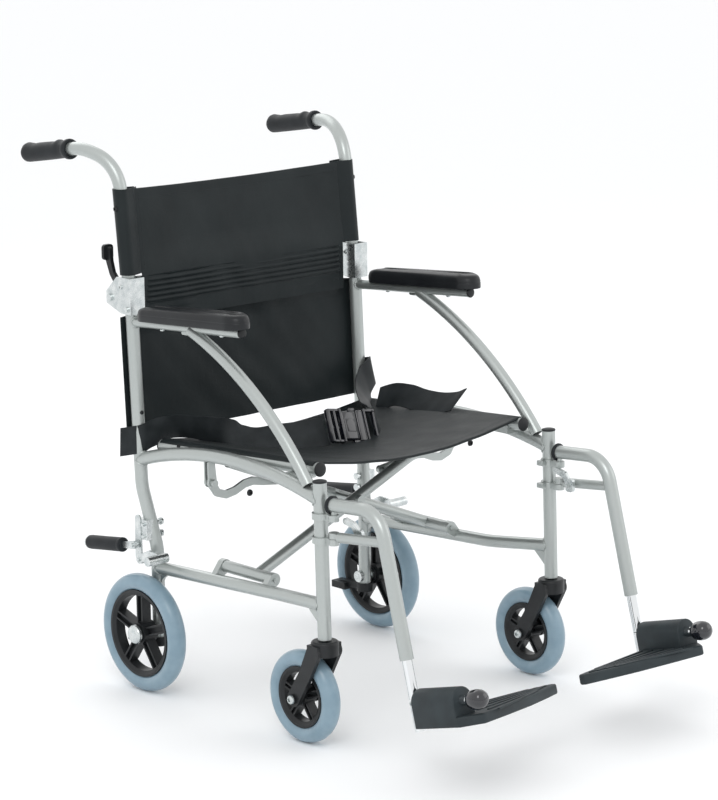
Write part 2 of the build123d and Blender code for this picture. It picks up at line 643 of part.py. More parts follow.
def footplate():
    """Moulded plate and hinge barrel in one: flat outer cheek, ribbed tread, tapered inner tip."""
    place = step_plane().location
    outer = -21.0
    barrel = Rectangle(42, 36)
    cheek = Pos(0, -19) * barrel + Circle(21)
    barrel_solid = extrude(Plane(origin=(0, 13, 0), x_dir=(1, 0, 0), z_dir=(0, -1, 0)) * cheek,
                           amount=-94)
    tread = outline(
        (outer, 14), (60, 26), (214, 64), (222, 72), (220, 82), (130, 116), (60, 132),
        (12, 141), (6, 141), (outer, 110),
    )
    plate = extrude(Plane(origin=(0, 0, -38)) * tread, amount=16)
    for i in range(4):
        rib = Pos(100, 56 + 17 * i, -22) * (Rot(0, 0, 9 - 9 * i) * Box(150 - 20 * i, 5, 2.4))
        plate += rib
    body = barrel_solid + plate
    body -= extrude(Plane(origin=(0, 0, 0), x_dir=(1, 0, 0), z_dir=(0, 1, 0)) * Circle(5 + PIN_GAP),
                    amount=130)
    return solid_of(place * body)


save_pair("footrest_hanger", footrest_hanger())
save_pair("footrest_latch", footrest_latch())
save_pair("footrest_slide", footrest_slide())
save_pair("footplate_pin", footplate_pin())
save_pair("footplate", footplate())


# ---------------------------------------------------------------- upholstery
def seat_sheet():
    """The seat's sheet as a solid 3 mm thick, clear of the rails it hangs between."""
    half = SEAT_RAIL_X + 9.0
    sag = 21.0
    crown = 12.6
    front_y = -150.0
    back_y = 246.0
    z_front = seat_rail_z(front_y)
    upper = ThreePointArc((-half, front_y, z_front + crown), (0, front_y, z_front + crown - sag),
                          (half, front_y, z_front + crown))
    lower = ThreePointArc((half, front_y, z_front + crown - 3), (0, front_y, z_front + crown - sag - 3),
                          (-half, front_y, z_front + crown - 3))
    left = Line((half, front_y, z_front + crown), (half, front_y, z_front + crown - 3))
    right = Line((-half, front_y, z_front + crown - 3), (-half, front_y, z_front + crown))
    face = make_face([upper, left, lower, right])
    run = Vector(0, back_y - front_y, seat_rail_z(back_y) - z_front)
    sheet = extrude(face, amount=run.length, dir=run)
    for x in (-SEAT_RAIL_X, SEAT_RAIL_X):
        sheet -= rod((x, -170, seat_rail_z(-170)), (x, 270, seat_rail_z(270)), TUBE + 0.3)
    return solid_of(sheet)


def back_sheet(z_low, z_high, half_low, half_high):
    """A flat panel of the back sling just ahead of the posts' or canes' rear faces."""
    lean = (302 - 286.3) / (834 - 694)
    y_low = 286.3 + (z_low - 694) * lean
    y_high = 286.3 + (z_high - 694) * lean
    plane = Plane(origin=(0, y_low, z_low), x_dir=(1, 0, 0),
                  z_dir=(0, z_low - z_high, y_high - y_low))
    length = hypot(z_high - z_low, y_high - y_low)
    panel = outline((-half_low, 0), (half_low, 0), (half_high, length), (-half_high, length))
    return extrude(plane * panel, amount=3.0)


upper_panel = back_sheet(697, 836, 234, 234)
lower_panel = back_sheet(424, 690, 233, 222)
save("seat_sling", seat_sheet())
save("back_sling_upper", solid_of(upper_panel))
save("back_sling_lower", solid_of(lower_panel))


def lap_belt():
    """Webbing from post to post across the seat, with its buckle."""
    strap = block(-215, 215, 190, 238, 427, 430)
    buckle = block(-38, 36, 184, 244, 430, 442)
    return solid_of(strap + buckle)


save("lap_belt", lap_belt())
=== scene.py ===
"""Looks of the folding attendant-pushed wheelchair. Metres, +Z up, the chair faces -Y."""

import json
from math import atan2, cos, pi, radians, sin, sqrt

import bmesh
import bpy
from mathutils import Matrix, Vector, noise


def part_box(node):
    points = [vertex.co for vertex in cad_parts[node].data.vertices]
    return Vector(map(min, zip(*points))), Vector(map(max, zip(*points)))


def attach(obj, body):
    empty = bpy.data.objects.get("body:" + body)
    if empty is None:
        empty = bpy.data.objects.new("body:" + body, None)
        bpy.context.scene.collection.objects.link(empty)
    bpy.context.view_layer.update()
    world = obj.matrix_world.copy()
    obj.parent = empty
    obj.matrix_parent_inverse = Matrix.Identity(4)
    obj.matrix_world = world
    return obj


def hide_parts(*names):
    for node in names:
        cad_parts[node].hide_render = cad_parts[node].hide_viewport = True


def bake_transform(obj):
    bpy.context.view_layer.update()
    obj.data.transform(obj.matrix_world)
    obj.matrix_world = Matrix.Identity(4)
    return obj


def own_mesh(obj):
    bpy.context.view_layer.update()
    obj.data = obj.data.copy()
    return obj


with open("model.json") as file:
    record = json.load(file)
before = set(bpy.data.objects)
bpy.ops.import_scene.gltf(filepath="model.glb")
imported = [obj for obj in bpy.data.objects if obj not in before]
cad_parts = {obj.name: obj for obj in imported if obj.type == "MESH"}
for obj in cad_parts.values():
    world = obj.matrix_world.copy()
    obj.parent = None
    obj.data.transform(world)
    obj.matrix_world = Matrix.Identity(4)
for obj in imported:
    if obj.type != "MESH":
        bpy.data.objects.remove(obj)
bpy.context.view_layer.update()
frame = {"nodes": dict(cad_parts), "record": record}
scene = bpy.context.scene
nodes = frame["nodes"]
SIDES = (("left", 1), ("right", -1))
MM = 0.001


# ---------------------------------------------------------------- camera and light
def photo_camera():
    """Long lens, a little above the arms, from the chair's front right."""
    azimuth = radians(-42.66)
    elevation = radians(12.05)
    roll = radians(-0.727)
    back = Vector((sin(azimuth) * cos(elevation), -cos(azimuth) * cos(elevation), sin(elevation)))
    level = Vector((cos(azimuth), sin(azimuth), 0))
    upward = back.cross(level)
    right = cos(roll) * level + sin(roll) * upward
    up = cos(roll) * upward - sin(roll) * level
    data = bpy.data.cameras.new("camera")
    data.sensor_fit = "VERTICAL"
    data.sensor_height = 36
    data.lens = 132.6
    data.shift_x = -0.0206
    data.shift_y = -0.0009
    data.clip_end = 30
    camera = bpy.data.objects.new("camera", data)
    turn = Matrix((right, up, back)).transposed().to_4x4()
    camera.matrix_world = Matrix.Translation((-3.1814, -3.4834, 1.5006)) @ turn
    scene.collection.objects.link(camera)
    scene.camera = camera


def soft_light(name, place, size, power, aim=(0, 0, 0.4)):
    """A large square lamp that looks at the chair."""
    data = bpy.data.lights.new(name, "AREA")
    data.shape = "SQUARE"
    data.size = size
    data.energy = power
    lamp = bpy.data.objects.new(name, data)
    lamp.location = place
    lamp.rotation_euler = (Vector(aim) - Vector(place)).to_track_quat("-Z", "Y").to_euler()
    scene.collection.objects.link(lamp)


def studio():
    """Pale sweep of floor under bright even light."""
    world = bpy.data.worlds.new("studio")
    world.use_nodes = True
    world.node_tree.nodes["Background"].inputs[0].default_value = (1, 1, 1, 1)
    world.node_tree.nodes["Background"].inputs[1].default_value = 1.05
    scene.world = world
    scene.view_settings.view_transform = "Standard"
    soft_light("key", (-2.6, -2.2, 3.2), 1.8, 34)
    soft_light("fill", (2.8, -2.4, 1.8), 2.2, 12)
    soft_light("back", (0.6, 2.8, 2.6), 2.4, 20)
    bm = bmesh.new()
    bmesh.ops.create_grid(bm, x_segments=2, y_segments=2, size=30)
    mesh = bpy.data.meshes.new("floor")
    bm.to_mesh(mesh)
    bm.free()
    floor = bpy.data.objects.new("floor", mesh)
    floor.location = (0, 0, -0.0005)
    scene.collection.objects.link(floor)
    pale = bpy.data.materials.new("pale_floor")
    pale.use_nodes = True
    shader = pale.node_tree.nodes["Principled BSDF"]
    shader.inputs["Base Color"].default_value = (0.93, 0.94, 0.95, 1)
    shader.inputs["Roughness"].default_value = 0.85
    floor.data.materials.append(pale)


# ---------------------------------------------------------------- materials
class Finish:
    """One node material: a varied base colour and roughness, and a bump built up in layers."""

    def __init__(self, name, colour, roughness, metallic=0.0, **sockets):
        self.material = bpy.data.materials.new(name)
        self.material.use_nodes = True
        self.tree = self.material.node_tree
        self.shader = self.tree.nodes["Principled BSDF"]
        self.colour = colour
        self.shader.inputs["Base Color"].default_value = (*colour, 1)
        self.shader.inputs["Roughness"].default_value = roughness
        self.shader.inputs["Metallic"].default_value = metallic
        for socket, value in sockets.items():
            self.shader.inputs[socket.replace("_", " ")].default_value = value
        self.coords = self.node("ShaderNodeTexCoord")
        self.last_bump = None

    def node(self, kind, **settings):
        made = self.tree.nodes.new(kind)
        for key, value in settings.items():
            setattr(made, key, value)
        return made

    def link(self, source, target):
        self.tree.links.new(source, target)

    def noise(self, scale, detail=3.0, stretch=(1, 1, 1), coords="Object"):
        """Noise at this many cells a metre, drawn out along an axis by stretch."""
        mapping = self.node("ShaderNodeMapping")
        mapping.inputs["Scale"].default_value = stretch
        texture = self.node("ShaderNodeTexNoise")
        texture.inputs["Scale"].default_value = scale
        texture.inputs["Detail"].default_value = detail
        self.link(self.coords.outputs[coords], mapping.inputs["Vector"])
        self.link(mapping.outputs["Vector"], texture.inputs["Vector"])
        return texture.outputs["Fac"]

    def waves(self, scale, axis, coords="Object", distortion=0.0):
        texture = self.node("ShaderNodeTexWave", bands_direction=axis)
        texture.inputs["Scale"].default_value = scale
        texture.inputs["Distortion"].default_value = distortion
        self.link(self.coords.outputs[coords], texture.inputs["Vector"])
        return texture.outputs["Fac"]

    def vary_colour(self, source, low, high, low_at=0.3, high_at=0.7):
        ramp = self.node("ShaderNodeValToRGB")
        ramp.color_ramp.elements[0].position = low_at
        ramp.color_ramp.elements[1].position = high_at
        ramp.color_ramp.elements[0].color = (*low, 1)
        ramp.color_ramp.elements[1].color = (*high, 1)
        self.link(source, ramp.inputs["Fac"])
        self.link(ramp.outputs["Color"], self.shader.inputs["Base Color"])

    def vary_roughness(self, source, low, high):
        span = self.node("ShaderNodeMapRange")
        span.inputs["To Min"].default_value = low
        span.inputs["To Max"].default_value = high
        self.link(source, span.inputs["Value"])
        self.link(span.outputs["Result"], self.shader.inputs["Roughness"])

    def bump(self, source, depth, strength=1.0):
        """Adds a layer of relief, depth in metres, under the layers before it."""
        layer = self.node("ShaderNodeBump")
        layer.inputs["Strength"].default_value = strength
        layer.inputs["Distance"].default_value = depth
        self.link(source, layer.inputs["Height"])
        if self.last_bump:
            self.link(self.last_bump, layer.inputs["Normal"])
        self.last_bump = layer.outputs["Normal"]
        self.link(self.last_bump, self.shader.inputs["Normal"])


def shade(colour, factor):
    return tuple(min(1.0, c * factor) for c in colour)


def silver_paint():
    """Satin silver with a fine metal flake and a little orange peel."""
    f = Finish("silver_paint", (0.42, 0.45, 0.44), 0.34, 0.72, Coat_Weight=0.25, Coat_Roughness=0.2)
    f.vary_colour(f.noise(2400, 2), (0.38, 0.41, 0.4), (0.48, 0.51, 0.5))
    f.vary_roughness(f.noise(14, 4), 0.3, 0.4)
    f.bump(f.noise(3200, 2), 0.00003, 0.25)
    f.bump(f.noise(160, 3), 0.00012, 0.15)
    return f.material


def zinc_plate():
    """Bright zinc plate, faintly mottled, with rolling lines."""
    f = Finish("zinc_plate", (0.62, 0.66, 0.66), 0.26, 0.95)
    f.vary_colour(f.noise(90, 4), (0.5, 0.54, 0.545), (0.72, 0.745, 0.74))
    f.vary_roughness(f.noise(260, 4), 0.2, 0.36)
    f.bump(f.noise(700, 3, (1, 1, 0.1)), 0.00006, 0.35)
    return f.material


def bright_chrome():
    f = Finish("bright_chrome", (0.78, 0.8, 0.81), 0.07, 1.0)
    f.vary_roughness(f.noise(60, 4), 0.05, 0.13)
    f.bump(f.noise(900, 2, (1, 1, 0.06)), 0.00002, 0.2)
    return f.material


def grey_tyre():
    """Solid grey-blue polyurethane, smooth from the mould, lightly scuffed."""
    f = Finish("grey_tyre", (0.2, 0.3, 0.37), 0.3, Coat_Weight=0.2, Coat_Roughness=0.15)
    f.vary_colour(f.noise(38, 5), (0.175, 0.268, 0.333), (0.225, 0.325, 0.395))
    f.vary_roughness(f.noise(70, 5), 0.24, 0.4)
    f.bump(f.noise(260, 4), 0.0001, 0.18)
    return f.material


def moulded_black(name, colour, roughness, grain):
    """Black moulded plastic with a spark-eroded grain."""
    f = Finish(name, colour, roughness, Specular_IOR_Level=0.3)
    f.vary_colour(f.noise(30, 4), shade(colour, 0.8), shade(colour, 1.25))
    f.vary_roughness(f.noise(55, 4), roughness - 0.06, roughness + 0.08)
    f.bump(f.noise(1500, 3), grain, 0.5)
    return f.material


def gloss_black():
    f = Finish("gloss_black", (0.006, 0.007, 0.011), 0.1, Coat_Weight=0.8, Coat_Roughness=0.05)
    f.vary_roughness(f.noise(80, 3), 0.08, 0.16)
    f.bump(f.noise(400, 2), 0.00002, 0.15)
    return f.material


def soft_rubber():
    """Dull black rubber with a fine pebble."""
    f = Finish("soft_rubber", (0.013, 0.015, 0.018), 0.5, Specular_IOR_Level=0.22)
    f.vary_colour(f.noise(45, 4), (0.01, 0.012, 0.014), (0.019, 0.022, 0.025))
    f.vary_roughness(f.noise(90, 4), 0.42, 0.6)
    f.bump(f.noise(1900, 2), 0.00008, 0.5)
    return f.material


def pad_skin():
    """Self-skinned black foam: a shallow leather grain with a soft gloss."""
    f = Finish("pad_skin", (0.011, 0.012, 0.014), 0.3, Coat_Weight=0.08,
               Coat_Roughness=0.25, Specular_IOR_Level=0.25)
    f.vary_colour(f.noise(24, 3), (0.009, 0.01, 0.012), (0.015, 0.017, 0.019))
    cells = f.node("ShaderNodeTexVoronoi", feature="DISTANCE_TO_EDGE")
    cells.inputs["Scale"].default_value = 620
    f.link(f.coords.outputs["Object"], cells.inputs["Vector"])
    f.vary_roughness(f.noise(60, 4), 0.27, 0.42)
    f.bump(cells.outputs["Distance"], 0.00012, 0.35)
    f.bump(f.noise(35, 3), 0.0006, 0.2)
    return f.material


def black_nylon():
    """Closely woven black nylon: warp and weft, a slight sheen and fine creasing."""
    f = Finish("black_nylon", (0.009, 0.013, 0.0145), 0.43, Sheen_Weight=0.03,
               Sheen_Roughness=0.4, Specular_IOR_Level=0.2)
    f.vary_colour(f.noise(9, 5), (0.007, 0.0105, 0.0118), (0.0125, 0.0175, 0.019))
    f.vary_roughness(f.noise(26, 5), 0.36, 0.52)
    f.bump(f.waves(330, "X"), 0.00012, 0.35)
    f.bump(f.waves(330, "Z"), 0.00012, 0.35)
    f.bump(f.waves(330, "Y"), 0.00010, 0.3)
    f.bump(f.noise(60, 5, (1, 1, 0.45)), 0.0012, 0.35)
    f.bump(f.noise(16, 4), 0.004, 0.25)
    return f.material


def ribbed_webbing():
    """Seat-belt webbing: ribs along its length and a herringbone across."""
    f = Finish("ribbed_webbing", (0.013, 0.016, 0.018), 0.5,
               Sheen_Weight=0.04, Sheen_Roughness=0.35, Specular_IOR_Level=0.2)
    f.vary_colour(f.noise(40, 4), (0.01, 0.013, 0.0145), (0.02, 0.024, 0.0265))
    f.vary_roughness(f.noise(50, 4), 0.42, 0.58)
    f.bump(f.waves(5.5, "Y", "UV"), 0.0003, 0.5)
    f.bump(f.waves(60, "X", "UV", 0.4), 0.00015, 0.3)
    return f.material


MATERIALS = {
    "frame_silver": silver_paint(),
    "bracket_zinc": zinc_plate(),
    "chrome": bright_chrome(),
    "tyre_grey": grey_tyre(),
    "rim_black": moulded_black("rim_black", (0.014, 0.0155, 0.017), 0.36, 0.00004),
    "plastic_black": moulded_black("plastic_black", (0.012, 0.0135, 0.015), 0.42, 0.00006),
    "tread_grey": moulded_black("tread_grey", (0.022, 0.03, 0.034), 0.5, 0.0001),
    "knob_black": gloss_black(),
    "grip_rubber": soft_rubber(),
    "pad_vinyl": pad_skin(),
    "sling_nylon": black_nylon(),
    "webbing": ribbed_webbing(),
}


def dress_cad():
    """Every carried-over CAD node takes its slot's material, apart from those shown in two."""
    shown_as = {"brake_lever": "bracket_zinc", "footplate_pin": "chrome"}
    for part in frame["record"]["subparts"]:
        name = part["node"]
        slot = part["material_slot"]
        for stem, instead in shown_as.items():
            if name.startswith(stem):
                slot = instead
        nodes[name].data.materials.clear()
        nodes[name].data.materials.append(MATERIALS[slot])


# ---------------------------------------------------------------- mesh helpers
def settle(bm, name, slot, body=None, sharp=38, merge=True):
    """Turns a bmesh into a finished piece in the slot's material, riding on its body."""
    if merge:
        bmesh.ops.remove_doubles(bm, verts=bm.verts, dist=0.00001)
        bmesh.ops.recalc_face_normals(bm, faces=bm.faces)
    mesh = bpy.data.meshes.new(name)
    bm.to_mesh(mesh)
    bm.free()
    for face in mesh.polygons:
        face.use_smooth = True
    mesh.set_sharp_from_angle(angle=radians(sharp))
    mesh.materials.append(MATERIALS[slot])
    piece = bpy.data.objects.new(name, mesh)
    scene.collection.objects.link(piece)
    if body:
        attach(piece, body)
    return piece


def aimed(place, direction, spin_to=(0, 0, 1)):
    """Matrix that carries local Z to a direction, with its origin at place."""
    z = Vector(direction).normalized()
    hint = Vector(spin_to)
    if abs(z.dot(hint)) > 0.95:
        hint = Vector((0, 1, 0))
    x = hint.cross(z).normalized()
    y = z.cross(x)
    return Matrix.Translation(place) @ Matrix((x, y, z)).transposed().to_4x4()


def placed(bm, part, matrix):
    """Adds a part to a mesh, moved into place."""
    bmesh.ops.transform(part, matrix=matrix, verts=part.verts)
    carrier = bpy.data.meshes.new("carrier")
    part.to_mesh(carrier)
    part.free()
    bm.from_mesh(carrier)
    bpy.data.meshes.remove(carrier)


def lathe_into(bm, profile, matrix, steps=32):
    """Spins a profile of (radius, height) about local Z and places it."""
    part = bmesh.new()
    chain = [part.verts.new((radius, 0, height)) for radius, height in profile]
    edges = [part.edges.new(pair) for pair in zip(chain, chain[1:])]
    bmesh.ops.spin(part, geom=chain + edges, axis=(0, 0, 1), cent=(0, 0, 0), angle=2 * pi,
                   steps=steps, use_merge=True, use_duplicate=False)
    placed(bm, part, matrix)


def lathe(name, slot, body, profile, place, direction, steps=32, sharp=38):
    bm = bmesh.new()
    lathe_into(bm, profile, aimed(place, direction), steps)
    return settle(bm, name, slot, body, sharp)


def bevelled(bm, edges, offset, segments=2):
    bmesh.ops.bevel(bm, geom=edges, offset=offset, offset_type="OFFSET", segments=segments,
                    profile=0.5, affect="EDGES", clamp_overlap=True, material=-1)


def block_into(bm, size, matrix, soften):
    """A rounded block of this size, centred on the matrix's origin."""
    part = bmesh.new()
    bmesh.ops.create_cube(part, size=1.0)
    bmesh.ops.scale(part, vec=size, verts=part.verts)
    bevelled(part, part.edges[:], soften, 3)
    placed(bm, part, matrix)


def cloth_grid(columns, rows, place, thickness):
    """A sheet of columns by rows cells. place(u, v) gives each point, u and v from 0 to 1."""
    bm = bmesh.new()
    bmesh.ops.create_grid(bm, x_segments=columns, y_segments=rows, size=0.5, calc_uvs=True)
    for v in bm.verts:
        v.co = place(v.co.x + 0.5, v.co.y + 0.5)
    bmesh.ops.recalc_face_normals(bm, faces=bm.faces)
    bmesh.ops.solidify(bm, geom=bm.faces[:], thickness=thickness)
    bmesh.ops.recalc_face_normals(bm, faces=bm.faces)
    return bm


def crease(x, y, seed, size):
    """Smooth repeatable noise from -1 to 1."""
    return noise.noise(Vector((x / size, y / size, seed)))


def smoothstep(t):
    t = max(0.0, min(1.0, t))
    return t * t * (3 - 2 * t)


# ---------------------------------------------------------------- fabric
RAIL_X = 0.2255           # seat rails, which the sling wraps
RAIL_R = 0.011
RAIL_FRONT = Vector((RAIL_X, -0.1451, 0.4385))
RAIL_BACK = Vector((RAIL_X, 0.2429, 0.4148))
CLOTH = 0.0012
SEAT_FRONT = -0.1405
SEAT_BACK = 0.2395
POST_X = 0.248


def rail_z(y):
    t = (y - RAIL_FRONT.y) / (RAIL_BACK.y - RAIL_FRONT.y)
    return RAIL_FRONT.z + t * (RAIL_BACK.z - RAIL_FRONT.z)


def folded_edge(v, first, last, share, hem):
    """Distance along a cloth whose first edge turns back under itself, and how far under it is."""
    half_turn = 0.0022
    turned = hem + pi * half_turn
    if v < share:
        s = v / share * turned
        if s < hem:
            return first + half_turn + (hem - s), 2 * half_turn
        angle = (s - hem) / half_turn
        return first + half_turn - half_turn * sin(angle), half_turn * (1 + cos(angle))
    return first + half_turn + (v - share) / (1 - share) * (last - first - half_turn), 0.0


def seat_sag(y):
    """How far the middle of the seat hangs below its edges."""
    t = (y - SEAT_FRONT) / (SEAT_BACK - SEAT_FRONT)
    return 0.023 + 0.006 * sin(pi * t) - 0.005 * t


def seat_height(x, y):
    edge = rail_z(y) + (RAIL_R + CLOTH) * cos(radians(11))
    across = min(1.0, abs(x) / (RAIL_X - 0.0025))
    slack = (1 - across ** 2) * seat_sag(y)
    pull = 0.0011 * crease(x + 0.6 * y, 0.25 * y, 3.1, 0.045) * (1 - across ** 4)
    return edge - slack + pull + 0.0014 * crease(x, y, 7.7, 0.11) * (1 - across ** 4)


def seat_point(u, v):
    y, under = folded_edge(v, SEAT_FRONT, SEAT_BACK, 0.2, 0.014)
    q = 2 * u - 1
    side = 1 if q > 0 else -1
    reach = abs(q)
    if reach > 0.86:
        angle = radians(-11 + (reach - 0.86) / 0.14 * 66)
        radius = RAIL_R + CLOTH - under * 0.3
        x = RAIL_X + radius * sin(angle)
        z = rail_z(y) + radius * cos(angle)
    else:
        x = reach / 0.86 * (RAIL_X - 0.0025)
        z = seat_height(x, y) - under
        seam = abs(y - SEAT_FRONT - 0.014)
        if under == 0 and seam < 0.002:
            z -= 0.0007 * (1 - seam / 0.002)
    return Vector((side * x, y, z))


def seat_sling():
    bm = cloth_grid(96, 84, seat_point, CLOTH)
    seat = settle(bm, "seat_cloth", "sling_nylon", None, 60, merge=False)
    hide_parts("seat_sling")
    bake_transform(seat)


def post_y(z):
    """Axis of the rear post above the seat."""
    return 0.2739 + (z - 0.345) * 0.0459


def cane_y(z):
    """Axis of the push-handle tube below its bend."""
    return 0.2894 + (z - 0.652) * 0.0996


BACK_LOW = 0.424
BAND_LOW = 0.646          # four rows of quilting cross the back here
BAND_HIGH = 0.692
BAND_PITCH = 0.0086
NOTCH_Z = 0.629


def lower_point(u, v):
    if v < 0.5:
        z = BACK_LOW + v / 0.5 * (BAND_LOW - BACK_LOW)
    else:
        z = BAND_LOW + (v - 0.5) / 0.5 * (BAND_HIGH - BAND_LOW)
    half = 0.2625 if z < NOTCH_Z else 0.2265
    x = (2 * u - 1) * half
    behind = post_y(z) + RAIL_R + CLOTH + 0.0005
    across = abs(x) / 0.235
    centre = max(0.0, 1 - across ** 2)
    y = behind + 0.006 * centre * sin(pi * min(1, (z - BACK_LOW) / 0.24))
    if across < 1:
        y -= 0.012 * smoothstep((z - 0.59) / 0.05) * smoothstep((1 - across) * 9)
    tension = 0.0016 * crease(x * 1.2 + z, z * 0.35 - x * 0.3, 2.3, 0.05)
    y += (tension + 0.0018 * crease(x, z, 9.1, 0.12)) * min(1, centre * 4)
    if z > BAND_LOW:
        y -= 0.0024 * abs(sin(pi * (z - BAND_LOW) / BAND_PITCH))
    return Vector((x, y, z))


TONGUE_LOW = 0.616
UPPER_LOW = 0.6975
UPPER_HIGH = 0.8365


def upper_point(u, v):
    z, behind = folded_edge(1 - v, -UPPER_HIGH, -TONGUE_LOW, 0.2, 0.014)
    z = -z
    half = 0.2345 if z > UPPER_LOW else 0.2225
    x = (2 * u - 1) * half
    across = min(1.0, abs(x) / 0.2345)
    centre = 1 - across ** 2
    y = max(cane_y(z), cane_y(0.69)) - 0.004 + behind
    y += 0.007 * centre * smoothstep((z - UPPER_LOW) / 0.05)
    sag = 0.0018 * crease(x + 0.5 * z, 0.3 * z, 5.9, 0.06) + 0.002 * crease(x, z, 1.7, 0.15)
    y += sag * min(1, centre * 4)
    seam = abs(UPPER_HIGH - 0.014 - z)
    if behind == 0 and seam < 0.002:
        y += 0.0008 * (1 - seam / 0.002)
    z -= 0.004 * centre * smoothstep((z - 0.78) / 0.05)
    return Vector((x, y, z))


def back_slings():
    """One back in two cloths that pass at the hinge line. The upper one's tongue hangs behind."""
    lower = settle(cloth_grid(90, 96, lower_point, CLOTH), "back_cloth_lower", "sling_nylon",
                   "side_frame_right", 60, merge=False)
    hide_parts("back_sling_lower")
    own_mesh(lower)
    upper = settle(cloth_grid(90, 84, upper_point, CLOTH), "back_cloth_upper", "sling_nylon",
                   "back_upper_right", 60, merge=False)
    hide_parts("back_sling_upper")
    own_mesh(upper)


def sleeve(side, sign):
    """Sewn sleeve round the push-handle tube, with its flat seam allowance on the back cloth."""
    radius = RAIL_R + 0.0013
    tail = 0.034
    wrap = radians(206)

    def place(u, v):
        z = UPPER_LOW + v * (UPPER_HIGH + 0.0015 - UPPER_LOW)
        reach = (u - 0.5) * 2
        arc = wrap / 2 * radius
        s = abs(reach) * (arc + tail)
        front = -1 if reach < 0 else 1
        turn = min(s, arc) / radius
        x = radius * cos(turn)
        y = radius * sin(turn)
        if s > arc:
            ahead = (s - arc) / tail
            end = Vector((-0.033, -0.004 * front + 0.0016))
            start = Vector((x, y))
            x, y = start.lerp(end, ahead) + Vector((0, 0.0016 * sin(pi * ahead)))
        ripple = 0.0006 * crease(u * 0.2, z, 4.4, 0.03)
        return Vector((sign * (POST_X + x * (1 + ripple)), cane_y(z) - front * y, z))

    body = f"back_upper_{side}"
    piece = settle(cloth_grid(64, 24, place, CLOTH), f"back_sleeve_{side}", "sling_nylon", body, 60,
                   merge=False)


def stitches(name, slot, count, place):
    """A row of short thread stitches. place(t) gives each one's middle and its direction."""
    bm = bmesh.new()
    for i in range(count):
        middle, along, outward = place((i + 0.5) / count)
        made = bmesh.ops.create_icosphere(bm, subdivisions=1, radius=0.5)
        bmesh.ops.scale(bm, vec=(0.0007, 0.0007, 0.0026), verts=made["verts"])
        matrix = aimed(middle + outward * 0.0002, along)
        bmesh.ops.transform(bm, matrix=matrix, verts=made["verts"])
    return settle(bm, name, slot, None, 80, merge=False)


def back_stitching():
    forward = Vector((0, -1, 0))
    sideways = Vector((1, 0, 0))

    def hem(t):
        p = upper_point(t, 0.8)
        return Vector((p.x, p.y - CLOTH, UPPER_HIGH - 0.0135 - (UPPER_HIGH - p.z))), sideways, forward

    row = stitches("hem_stitches", "webbing", 150, hem)
    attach(row, "back_upper_right")
    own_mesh(row)
    for i in range(5):
        v = 0.5 + 0.5 * (i * BAND_PITCH + 0.0002) / (BAND_HIGH - BAND_LOW)

        def seam(t, v=v):
            return lower_point(0.02 + 0.96 * t, v) + forward * CLOTH, sideways, forward

        row = stitches(f"band_stitches_{i}", "webbing", 140, seam)
        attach(row, "side_frame_right")
        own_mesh(row)
    upward = Vector((0, 0, 1))
    for side, sign in SIDES:

        def edge(t, sign=sign):
            z = UPPER_LOW + 0.004 + t * (UPPER_HIGH - UPPER_LOW - 0.008)
            return Vector((sign * 0.2185, cane_y(z) - 0.0076, z)), upward, forward

        row = stitches(f"sleeve_stitches_{side}", "webbing", 44, edge)
        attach(row, f"back_upper_{side}")


# ---------------------------------------------------------------- lap belt
BELT_W = 0.048


def ribbon(name, route, thickness=0.0016, width=BELT_W):
    """Webbing through (centre, direction across the width) stations, smoothly joined."""
    stations = [(Vector(p), Vector(w).normalized()) for p, w in route]
    spans = len(stations) - 1
    lengths = [(stations[i + 1][0] - stations[i][0]).length for i in range(spans)]
    total = sum(lengths)

    def at(s):
        i = 0
        while i < spans - 1 and s > lengths[i]:
            s -= lengths[i]
            i += 1
        t = min(1.0, s / lengths[i])
        p1, w1 = stations[i]
        p2, w2 = stations[i + 1]
        p0 = stations[i - 1][0] if i else 2 * p1 - p2
        p3 = stations[i + 2][0] if i + 2 <= spans else 2 * p2 - p1
        square = t * t
        cube = square * t
        centre = 0.5 * (2 * p1 + (p2 - p0) * t + (2 * p0 - 5 * p1 + 4 * p2 - p3) * square
                        + (3 * p1 - p0 - 3 * p2 + p3) * cube)
        return centre, w1.lerp(w2, smoothstep(t)).normalized()

    def place(u, v):
        centre, across = at(u * total)
        return centre + across * (v - 0.5) * width

    rows = max(12, int(total / 0.004))
    bm = cloth_grid(rows, 8, place, thickness)
    edge_bend = 50
    piece = settle(bm, name, "webbing", None, edge_bend, merge=False)
    area = sum(face.area for face in piece.data.polygons) / 2
    return piece, (round(area / width, 3), width)


def belt_fold(piece):
    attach(piece, "side_frame_right")
    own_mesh(piece)


NEAR_STRAP = [
    ((-0.2700, 0.3010, 0.4180), (0.05, 0.0, 1.0)),
    ((-0.2630, 0.2800, 0.4230), (0.05, 0.0, 1.0)),
    ((-0.2500, 0.2655, 0.4270), (0.0, 0.0, 1.0)),
    ((-0.2320, 0.2600, 0.4340), (-0.05, -0.1, 1.0)),
    ((-0.2070, 0.2430, 0.4430), (-0.2, -0.4, 0.9)),
    ((-0.1850, 0.2100, 0.4440), (-0.1, -0.5, 0.86)),
    ((-0.1680, 0.1760, 0.4400), (-0.1, -0.2, 1.0)),
    ((-0.1540, 0.1500, 0.4380), (0.3, 0.3, 0.9)),
    ((-0.1380, 0.1330, 0.4330), (0.3, 0.7, 0.65)),
    ((-0.1180, 0.1190, 0.4290), (0.2, 0.75, 0.6)),
    ((-0.0850, 0.0930, 0.4310), (0.05, 0.6, 0.8)),
    ((-0.0500, 0.0720, 0.4330), (0.0, 0.5, 0.87)),
    ((-0.0250, 0.0640, 0.4345), (0.0, 0.45, 0.89)),
]
